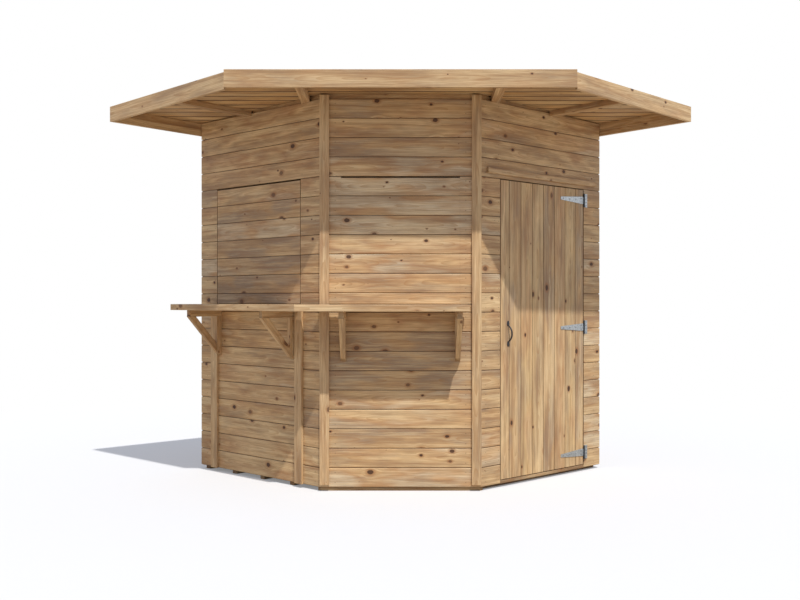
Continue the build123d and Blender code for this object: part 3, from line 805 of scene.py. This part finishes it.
z = (underCounter, sill)
depths = (-counter["depth"], -(counter["depth"] + counter["notch"]) / 2, -counter["notch"])
leftCounter, frontCounter = [], []
for y in zip(depths, depths[1:]):
    board = blockCorners((hatchSpan[0] - counter["pastHatch"], 0), y, z, "xy")
    board[1, :, :, 0] = sideWidth - board[1, :, :, 1] * mitre - fit
    leftCounter.append(onWall("left", board))
    board = blockCorners((0, frontSpan[1] + counter["pastFront"]), y, z, "xy")
    board[0, :, :, 0] = board[0, :, :, 1] * mitre + fit
    frontCounter.append(onWall("front", board))
for wall, span, boards in (("left", hatchSpan, leftCounter), ("front", frontSpan, frontCounter)):
    boards.append(blockOn(wall, span, (-counter["notch"], -fit), z, "xy"))
    timber(wall + "_shelf", boards, trimWood, "planed_timber", "counter_" + wall, counter["ease"], softEnd)

bracket = {
    "reach": 250.0, "drop": 297.0, "wide": 30.0, "bar": 38.0, "nose": 44.0,
    "sunk": 3.0,  # the brace's ends run a little into the arm and the leg
    "ease": 1.2, "endEase": 0.8, "nearInset": 67.0, "farInset": 39.0, "frontInset": 14.0,
}


def bracketBars(place):
    # arm, leg and brace of one bracket; the brace's edges are two parallel sloping lines
    x = (place - bracket["wide"] / 2, place + bracket["wide"] / 2)
    top = underCounter - fit
    foot = top - bracket["drop"]
    bar, sunk = bracket["bar"], bracket["sunk"]
    slope = (bracket["drop"] - bracket["nose"]) / (bracket["reach"] - bar / 2)
    upright = bar * sqrt(1 + slope * slope)
    lower = foot + bar / 2 * slope
    inner = bar + (top - bar - lower - upright) / slope
    arm = blockCorners(x, (-bracket["reach"], -fit), (top - bar, top), "yz")
    arm[0, 0, :, 2] = top - bracket["nose"]
    leg = blockCorners(x, (-bar, -fit), (foot, top - bar), "zy")
    leg[0, 0, :, 2] = lower
    brace = blockCorners(x, (0, 1), (0, 1), "yz")
    brace[0, 0, :, 1:] = (-bracket["reach"] - sunk, top - bracket["nose"] + sunk * slope)
    brace[0, 1, :, 1:] = (-inner - sunk, top - bar + sunk * slope)
    brace[1, 0, :, 1:] = (-bar + sunk, lower - sunk * slope)
    brace[1, 1, :, 1:] = (-bar + sunk, lower + upright - sunk * slope)
    return [arm, leg, brace]


leftPlaces = (hatchSpan[1] - bracket["nearInset"], hatchSpan[0] + bracket["farInset"])
frontPlaces = (frontSpan[0] + bracket["frontInset"], frontSpan[1] - bracket["frontInset"])
for wall, places in (("left", leftPlaces), ("front", frontPlaces)):
    found = [onWall(wall, corners) for place in places for corners in bracketBars(place)]
    eases = (bracket["ease"], bracket["endEase"])
    timber(wall + "_shelf_brackets", found, trimWood, "planed_timber", wall + "_brackets", *eases)
print("counter made")


roof = {
    "deck": 12.0,
    "deckJoint": (3.0, 6.0, 8.0),  # half its width, eased corner and depth
    "felt": 2.0, "feltRoll": 900.0, "feltLap": 80.0, "feltEase": 0.5,
    "fascia": 20.0, "fasciaHigh": 96.0,
    "frontHigh": 100.0, "frontRise": 15.0, "fasciaEase": 2.0, "fasciaEnd": 0.3, "rim": 28.0,
    "rimHigh": 45.0, "joist": 33.0, "joistWide": 55.0, "joistPast": 91.5, "outrigger": 691.0,
    "leastRow": 6.0, "leastHalf": 8.0,
}
overhangs = (building["frontOverhang"], building["sideOverhang"], building["rearOverhang"])


def roofOutline(setIn):
    # the roof's plan corners, set in from its edges
    return planOutline(*[overhang - setIn for overhang in overhangs])


def acrossRows(corners, pitch, low, high, lap=0.0):
    # bars from side to side between the slanting edges of a plan outline, one a row; the
    # rows are counted from the widest line, so that no bar has to turn a corner
    first, middle, last = corners[0][1], corners[2][1], corners[3][1]
    lines = np.arange(middle - pitch * np.ceil((middle - first) / pitch), last + pitch, pitch)
    lines = np.unique(np.clip(lines, first, last))
    found = []
    for near, far in zip(lines, lines[1:]):
        if far - near < roof["leastRow"]:
            continue
        farther = far if abs(far - middle) < fit else min(far + lap, last)
        bar = blockCorners((-1, 1), (near, farther), (0, 1), "xy")
        for j, y in enumerate((near, farther)):
            half = y - first + corners[1][0]
            if y > middle - fit:
                half = min(half, last - y)
            half = max(half, roof["leastHalf"])
            bar[:, j, :, 0] = np.array([-half, half])[:, None]
        bar[:, :, 0, 2] = low(bar[:, :, 0, 1])
        bar[:, :, 1, 2] = high(bar[:, :, 1, 1])
        found.append(bar)
    return found


deckTop = soffit + roof["deck"]
roofTop = deckTop + roof["felt"]
deckOutline = roofOutline(roof["fascia"] + fit)
deckRows = acrossRows(deckOutline, building["pitch"], slopeAt(soffit), slopeAt(deckTop))
# the roof boards' joint faces and eased corners are painted darker as shade
deckBoards = bars(deckRows, rebatedEdges(*roof["deckJoint"]), cladding["endEase"], joints=easedFaces)
makePiece("roof_boards", [deckBoards], soffitWood, ["roof_deck"])
feltRows = acrossRows(deckOutline, roof["feltRoll"], slopeAt(deckTop), slopeAt(roofTop), roof["feltLap"])
for row in feltRows[:-1]:
    row[:, 1, :, 2] += roof["felt"]
eases = (roof["feltEase"], roof["feltEase"])
timber("felt_sheets", feltRows, [granuleFelt], "roofing_felt", "roof_felt", *eases)

edges = (roofOutline(0), roofOutline(roof["fascia"]))
frontTop = roofTop + building["fall"] * overhangs[0] + roof["frontRise"]
for name, wall in (
    ("front", "front"),
    ("left", "left"),
    ("right", "right"),
    ("rear_left", "rearLeft"),
    ("rear_right", "rearRight"),
):
    low, high, woods = slopeAt(roofTop - roof["fasciaHigh"]), slopeAt(roofTop), trimWood
    if name == "front":
        low, high, woods = levelAt(frontTop - roof["frontHigh"]), levelAt(frontTop), eavesWood
    board = [edgeBar(wall, *edges, low, high)]
    eases = (roof["fasciaEase"], roof["fasciaEnd"])
    timber(name + "_edge_board", board, woods, "planed_timber", name + "_fascia", *eases)

rimStart = roof["fascia"] + fit
rimEnd = rimStart + roof["rim"]
rimInner = planOutline(overhangs[0] - rimEnd, overhangs[1] - rimEnd, fit)
rimLow = slopeAt(roofLine - roof["rimHigh"])
rims = [edgeBar(wall, roofOutline(rimStart), rimInner, rimLow, slopeAt(roofLine)) for wall in wallOrder]
timber("roof_edge_battens", rims, sawnWood, "frame_timber", "roof_rim")


def joistBar(corners):
    # a block's lower and upper faces laid along the roof's slope
    corners[:, :, 0, 2] = slopeAt(roofLine - roof["joist"])(corners[:, :, 0, 1])
    corners[:, :, 1, 2] = slopeAt(roofLine)(corners[:, :, 1, 1])
    return corners


joistX = halfFront + roof["joistPast"]
halfJoist = roof["joistWide"] / 2
outerEnd = rimEnd + 2 * fit
joists, outriggers = [], []
for middle in (-joistX, 0.0, joistX):
    x = np.array([middle - halfJoist, middle + halfJoist])
    bar = blockCorners(x, (0, 1), (0, 1), "yx")
    bar[0, :, :, 1] = np.maximum(postEnd, np.abs(x) - halfFront + root2 * postEnd)[:, None]
    bar[1, :, :, 1] = (rearY - root2 * postEnd - np.abs(x))[:, None]
    joists.append(joistBar(bar))
    if middle:
        bar = blockCorners(x, (outerEnd - overhangs[0], 0), (0, 1), "yx")
        bar[1, :, :, 1] = (np.abs(x) - halfFront - root2 * fit)[:, None]
        outriggers.append(joistBar(bar))
timber("room_joists", joists, sawnWood, "frame_timber", "roof_joists")
for wall, place in (("right", roof["outrigger"]), ("left", sideWidth - roof["outrigger"])):
    x = (place - halfJoist, place + halfJoist)
    outriggers.append(joistBar(blockOn(wall, x, (outerEnd - overhangs[1], -fit), (0, 1), "yx")))
timber("overhang_joists", outriggers, sawnWood, "frame_timber", "roof_outriggers")
print("roof made")


floor = {
    "bearerHigh": 44.0, "bearerWide": 40.0, "inset": 41.0, "count": 7, "rim": 16.0, "thick": 14.0,
    "edge": 17.5, "board": 95.0, "boardEase": 0.8, "boardEnd": 0.5, "crispEase": 1.0,
}
bearers = []
step = (squareSide - 2 * floor["inset"] - floor["bearerWide"]) / (floor["count"] - 1)
frontLine = squareSide + sideWidth - root2 * (square + floor["rim"] + 2 * fit)
for index in range(floor["count"]):
    start = floor["inset"] + index * step
    y = np.array([start, start + floor["bearerWide"]])
    bar = blockCorners((frameFace, 1), y, (0, floor["bearerHigh"]), "xy")
    bar[1, :, :, 0] = np.minimum(squareSide - frameFace, frontLine - y)[:, None]
    bearers.append(onWall("rearLeft", bar))
timber("bearers", bearers, weatheredWood, "frame_timber", "floor_bearers")
rimOuter = planOutline(-frameFace, -frameFace, -frameFace)
rimInner = planOutline(-frameFace - floor["rim"], -frameFace, -frameFace)
bearerTop = levelAt(floor["bearerHigh"])
rimBar = edgeBar("front", rimOuter, rimInner, levelAt(0.0), bearerTop)
timber("bearer_end_board", [rimBar], weatheredWood, "frame_timber", "floor_rim", floor["crispEase"])
floorTop = levelAt(floor["bearerHigh"] + floor["thick"])
planks = acrossRows(planOutline(*[-floor["edge"]] * 3), floor["board"], bearerTop, floorTop)
eases = (floor["boardEase"], floor["boardEnd"])
timber("floor_planks", planks, sawnWood, "frame_timber", "floor_boards", *eases)
print("floor made")


door = {
    "gap": 5.0, "sill": 40.0, "firstSeam": 261.0, "pitch": 114.3, "seams": 7,
    "joint": (2.0, 2.2, 6.0),  # half its width, eased corner and depth
    "uneven": 0.25, "ledges": (150.0, 850.0, 1660.0), "ledgeWide": 95.0, "ledgeEnd": 20.0,
    "brace": 80.0, "dripStart": 48.0, "dripEnd": 55.0, "dripRise": 25.0, "dripHigh": 32.0,
    "dripThick": 16.0, "dripEase": 2.0,
}
leaf = (doorSpan[0] + door["gap"], doorSpan[1] - door["gap"])
seams = [door["firstSeam"] + i * door["pitch"] for i in range(door["seams"])]
seams = [leaf[0], *seams, leaf[1]]
leafHeights = (door["sill"] + door["gap"], headHeight - door["gap"])
leafBoards = [blockOn("right", x, (0, square), leafHeights, "zx") for x in zip(seams, seams[1:])]
leafPart = bars(leafBoards, rebatedEdges(*door["joint"]), wander=door["uneven"])
makePiece("door_leaf", [leafPart], doorWood, ["door_boards"], "door")
x = (leaf[0] + door["ledgeEnd"], leaf[1] - door["ledgeEnd"])
y = (frameFace, frameFace + stud)
innerBars = [blockOn("right", x, y, (low, low + door["ledgeWide"])) for low in door["ledges"]]
for low, high in zip(door["ledges"], door["ledges"][1:]):
    brace = blockCorners((0, 1), y, (low + door["ledgeWide"] + fit, high - fit), "zx")
    brace[0, :, :, 0] = np.array([x[1] - door["brace"], x[1]])[:, None]
    brace[1, :, :, 0] = np.array([x[0], x[0] + door["brace"]])[:, None]
    innerBars.append(onWall("right", brace))
timber("door_ledges_and_braces", innerBars, sawnWood, "frame_timber", "door_ledges", body="door")
low = headHeight + door["dripRise"]
x = (door["dripStart"], sideWidth - door["dripEnd"])
drip = blockOn("right", x, (-door["dripThick"] - fit, -fit), (low, low + door["dripHigh"]))
timber("door_head_strip", [drip], trimWood, "planed_timber", "door_drip_bar", door["dripEase"])
strip = blockOn("right", inside(doorSpan), (0, square), (bottom, door["sill"]))
timber("door_sill_strip", [strip], weatheredWood, "planed_timber", "door_threshold", floor["crispEase"])
print("door made")


hinge = {
    "heights": (124.0, 951.0, 1788.0), "metal": 3.0, "pin": 3.0, "knuckle": 5.5, "strapLength": 254.0,
    "strapEase": 0.7, "root": 50.0, "tip": 19.0,
    "neck": 0.7,  # the neck ends this many knuckle radii from the pin
    "strapKnuckle": 34.0,
    "strapScrews": ((32, 12), (32, -12), (92, 0), (158, 0), (226, 0)),  # along and up from the pin
    "plateHigh": 88.0, "plateWide": 38.0, "plateEase": 0.6,
    "plateScrews": ((24, 33), (24, 11), (24, -11), (24, -33)),
    "knuckleGap": 0.5, "knuckleEase": 0.5,
}
screw = {
    "radius": 5.0, "rise": 1.6, "slot": 0.16, "slotReach": 0.55, "slotDeep": 0.7, "around": 32,
    "shadedRim": 0.94,  # beyond this share of its radius a head is painted dark as shade, as are its slots
}
pinX = doorSpan[1] - door["gap"] / 2
pinY = -hinge["knuckle"] - fit
metal = (-fit - hinge["metal"], -fit)


def screwHead():
    # domed head on a grid of radius and angle, pressed down where either arm of a cross runs
    share = np.array([0.0, 0.14, 0.28, 0.42, 0.5, 0.58, 0.8, 0.93, 1.0, 1.0])
    height = screw["rise"] * np.array([1, 1, 1, 1, 1, 1, 0.86, 0.55, 0.25, -0.4])[:, None]
    x = screw["radius"] * share[:, None] * np.cos(around(screw["around"]))
    y = screw["radius"] * share[:, None] * np.sin(around(screw["around"]))
    cross = np.minimum(np.abs(x), np.abs(y)) < screw["slot"] * screw["radius"]
    pressed = cross & (share[:, None] < screw["slotReach"])
    z = height - screw["slotDeep"] * screw["rise"] * pressed
    head = sheetOf(np.stack([x, y, z], -1)[::-1])
    row = np.repeat(share[::-1][:-1], screw["around"])
    inSlot = (row < screw["slotReach"]) & np.tile(cross.any(0), len(share) - 1)
    # slots and rim take the painted shade finish
    head["finish"] = [(inSlot | (row > screw["shadedRim"])).astype(int)]
    return head


def screwsOn(places, way, height):
    # a screw at each place, given along one way from the pin and up from the hinge's middle
    parts = []
    for along, up in places:
        place = (pinX + way * along, metal[0], height + up)
        parts.append(moved(screwHead(), "right", place, upright=False))
    return parts


def knuckleTube(low, high, radius, height):
    # rolled barrel round the pin with softened ends, painted dark as the shade along the knuckle
    s = hinge["knuckleEase"]
    barrel = turned([(radius - s, low), (radius, low + s), (radius, high - s), (radius - s, high)])
    barrel["finish"] = [kind + 2 for kind in barrel["finish"]]
    return moved(barrel, "right", (pinX, pinY, height))


def metalBars(blocks, ease):
    # flat metal, its ends in the same finish as its sides
    part = bars([onWall("right", block) for block in blocks], easedEdges(ease), ease)
    return {**part, "finish": [0 * kind for kind in part["finish"]]}


def hingeStrap(height):
    # a long tongue and a short neck, both tapering from the root, with knuckle and screws
    root = pinX - 2 * hinge["knuckle"]
    blocks = []
    for end, wide in (
        (pinX - hinge["strapLength"], hinge["tip"]),
        (pinX - hinge["knuckle"] * hinge["neck"], hinge["strapKnuckle"]),
    ):
        block = blockCorners((root, end), metal, (-1, 1), "xz")
        block[0, :, :, 2] = height + np.array([-0.5, 0.5])[:, None] * hinge["root"]
        block[1, :, :, 2] = height + np.array([-0.5, 0.5])[:, None] * wide
        blocks.append(block)
    half = hinge["strapKnuckle"] / 2
    parts = [metalBars(blocks, hinge["strapEase"]), knuckleTube(-half, half, hinge["knuckle"], height)]
    return parts + screwsOn(hinge["strapScrews"], -1, height)


def hingePlate(height):
    # a plate, its two tongues to the pin, their knuckles, the pin itself and screws
    half = hinge["plateHigh"] / 2
    clear = hinge["strapKnuckle"] / 2 + hinge["knuckleGap"]
    edge = pinX + hinge["knuckle"] + fit
    blocks = [
        blockCorners((edge, pinX + hinge["plateWide"]), metal, (height - half, height + half), "zx"),
        blockCorners((pinX, edge), metal, (height - half, height - clear), "zx"),
        blockCorners((pinX, edge), metal, (height + clear, height + half), "zx"),
    ]
    parts = [metalBars(blocks, hinge["plateEase"])]
    for low, high, radius in (
        (-half, -clear, hinge["knuckle"]), (clear, half, hinge["knuckle"]), (-half, half, hinge["pin"])
    ):
        parts.append(knuckleTube(low, high, radius, height))
    return parts + screwsOn(hinge["plateScrews"], 1, height)


straps, plates = [], []
for height in hinge["heights"]:
    straps += hingeStrap(height)
    plates += hingePlate(height)
makePiece("tee_hinge_straps", straps, hingeFinishes, ["hinge_straps"], "door")
makePiece("tee_hinge_plates", plates, hingeFinishes, ["hinge_plates"])
print("hinges made")


# pull handle of the door
handle = {
    "x": 249.0, "low": 846.0, "high": 1004.0, "reach": 31.0,
    "sunk": 3.0,  # the bow starts this far off the door, inside its feet
    "bar": 5.0, "endBar": 3.4, "rings": 41, "sides": 20, "foot": 34.0, "footWide": 22.0,
    "footSides": 36,
    "swell": 0.7,  # lower keeps the bow thick for longer
}


def bowBar():
    # round bar carried along the arc through both feet and the outermost point, thinner
    # towards its ends; each ring lies square to the arc
    setIn = handle["foot"] - handle["bar"]
    low, high = handle["low"] + setIn, handle["high"] - setIn
    chord, rise = (high - low) / 2, handle["reach"] - handle["sunk"]
    bend = (chord ** 2 + rise ** 2) / (2 * rise)
    sweep = atan2(chord, bend - rise)
    turn = np.linspace(-sweep, sweep, handle["rings"])[:, None]
    angle = around(handle["sides"])
    swell = np.cos(turn / sweep * pi / 2) ** handle["swell"]
    thick = handle["endBar"] + (handle["bar"] - handle["endBar"]) * swell + 0 * angle
    far = bend + thick * np.cos(angle)
    x = handle["x"] + thick * np.sin(angle)
    y = bend - handle["reach"] - far * np.cos(turn)
    z = (low + high) / 2 + far * np.sin(turn)
    return moved(sheetOf(np.stack([x, y, z], -1), endCaps=True), "right", (0, 0, 0))


def ovalFoot(centre):
    # shallow oval dome: an ellipse drawn in rings, its height falling off near the edge
    share = np.array([1.0, 1.0, 0.94, 0.8, 0.5, 0.0])[:, None]
    height = np.array([0.0, 1.6, 2.5, 2.9, 3.0, 3.0])[:, None]
    x = handle["footWide"] / 2 * share * np.cos(around(handle["footSides"]))
    y = handle["foot"] / 2 * share * np.sin(around(handle["footSides"]))
    points = np.stack([x, y, height + 0 * x], -1)
    return moved(sheetOf(points), "right", (handle["x"], -fit, centre), upright=False)


feet = [ovalFoot(z) for z in (handle["low"] + handle["foot"] / 2, handle["high"] - handle["foot"] / 2)]
makePiece("bow_handle", [bowBar()] + feet, [blackIron], ["door_handle"], "door", smooth=True)
print("handle made")


nails = {
    "radius": 2.3,
    "crown": 0.8,  # share of the radius that is flat on top
    "rise": 0.5, "sides": 8,
    "proud": 0.05,  # the heads' undersides stand off the boards by this much
    "rowShares": (0.24, 0.76), "left": (70, 163, 1059, 1180),
    "front": (92, 865), "right": (40, 159, 1053, 1149), "rearTop": 2260.0,
}


def nailHeads(wall, places, top):
    # the same small dome at every place, two nails a board, made for all of them in one array
    sides = nails["sides"]
    angle = around(sides)
    radius = nails["radius"] * np.array([[1.0], [nails["crown"]]])
    y = -nails["rise"] * np.array([[0.0], [1.0]]) + 0 * angle
    ring = np.stack([radius * np.cos(angle), y, radius * np.sin(angle)], -1)
    rows = boardRows(bottom, top)
    heights = [low + share * (high - low) for low, high in rows for share in nails["rowShares"]]
    grid = np.array([(x, -nails["proud"], z) for x in places for z in heights])
    points = onWall(wall, grid[:, None, None, :] + ring[None])
    j = np.arange(sides)
    k = (j + 1) % sides
    start = np.arange(len(grid))[:, None] * 2 * sides
    skirts = np.stack([start + j, start + k, start + k + sides, start + j + sides], -1).reshape(-1, 4)
    return plainPart(points, [skirts, start + sides + j])


nailParts = [nailHeads(wall, nails[wall], wallTop) for wall in ("left", "front", "right")]
for wall in ("rearLeft", "rearRight"):
    places = [start + stud / 2 for start, _ in rearPosts]
    nailParts.append(nailHeads(wall, places, nails["rearTop"]))
makePiece("cladding_nails", nailParts, [nailSteel], [])
print("nails made")


# floor, light and camera
studio = {
    "floorSeen": "#E4E2DF",  # as the camera sees it
    "floorBounce": "#C3B8A5",  # as it lights the bar
    "floorLift": 0.22,  # how much the camera sees the floor's shadow thinned
    "floorRings": (0.0, 2.0, 5.0, 9.0, 14.0, 20.0), "floorSides": 64,
    "floorFade": (2.2, 5.5),  # plain inside the first distance, white beyond the second
    "floorDrop": 0.0005, "keyStrength": 3.3,
    "keySpread": 1.0,  # in degrees: wider gives softer shadow edges
    "keyWay": (0.37, -1.0, 1.78), "fill": 0.425, "fillColour": (0.88, 1.01, 1.33, 1.0),
    "cameraPlace": (0.0, -7.0696, 1.13), "lens": 46.93, "shiftX": -0.000625,
}
plainWhite = {"Color": (1, 1, 1, 1), "Strength": 1.0}


def makeStudioFloor():
    # a level disc, plain near the bar and fading to the white behind by distance from the middle
    rings = np.array(studio["floorRings"])[:, None]
    angle = around(studio["floorSides"])
    x, y = rings * np.cos(angle), rings * np.sin(angle)
    part = sheetOf(np.stack([x, y, 0 * x - studio["floorDrop"]], -1))
    mesh = bpy.data.meshes.new("studioFloor")
    mesh.from_pydata(part["points"].tolist(), [], part["faces"][0].tolist())
    shader = {"Roughness": 0.9, "Specular IOR Level": 0.0}
    material, surface, add = newFinish("paleStudioFloor", shader)
    seen = add("LightPath", {}, "Is Camera Ray")
    inputs = {0: seen, 6: hexColour(studio["floorBounce"]), 7: hexColour(studio["floorSeen"])}
    colour = add("Mix", inputs, 2, data_type="RGBA")
    fill(surface, {"Base Color": colour})
    place = add("TexCoord", {}, "Object")
    far = add("VectorMath", [place], "Value", operation="LENGTH")
    inputs = [far, *studio["floorFade"], studio["floorLift"], 1]
    fade = add("MapRange", inputs, interpolation_type="SMOOTHSTEP")
    amount = add("Math", [fade, seen], operation="MULTIPLY")
    white = add("Emission", plainWhite)
    blend = add("MixShader", [amount, surface.outputs[0], white])
    fill(material.node_tree.nodes["Material Output"], {"Surface": blend})
    mesh.materials.append(material)
    placed("studioFloor", mesh)


def makeWorld():
    # even pale light all round; the camera and glossy rays see plain white
    world = bpy.data.worlds.new("studioWorld")
    bpy.context.scene.world = world
    world.use_nodes = True
    world.node_tree.nodes.clear()
    add = partial(addNode, world.node_tree)
    rays = add("LightPath", {}).node.outputs
    seen = add("Math", [rays["Is Camera Ray"], rays["Is Transmission Ray"]], operation="MAXIMUM")
    seen = add("Math", [seen, rays["Is Glossy Ray"]], operation="MAXIMUM")
    soft = add("Background", {"Color": studio["fillColour"], "Strength": studio["fill"]})
    white = add("Background", plainWhite)
    blend = add("MixShader", [seen, soft, white])
    fill(world.node_tree.nodes.new("ShaderNodeOutputWorld"), {"Surface": blend})


def makeKeyLight():
    # one far lamp, its rays parallel and its disc wide enough to soften the shadows' edges
    lamp = bpy.data.lights.new("keyLight", "SUN")
    lamp.energy = studio["keyStrength"]
    lamp.angle = radians(studio["keySpread"])
    light = placed("keyLight", lamp)
    x, y, z = studio["keyWay"]
    light.location = (x, y, z)
    light.rotation_euler = (atan2(sqrt(x * x + y * y), z), 0, atan2(x, -y))


makeStudioFloor()
makeWorld()
makeKeyLight()

lens = bpy.data.cameras.new("photoCamera")
lens.sensor_width = 36.0
lens.lens = studio["lens"]
lens.shift_x = studio["shiftX"]
camera = placed("photoCamera", lens)
camera.location = studio["cameraPlace"]
camera.rotation_euler = (pi / 2, 0, 0)
bpy.context.scene.camera = camera
bpy.context.scene.view_settings.view_transform = "Standard"
print("studio made")
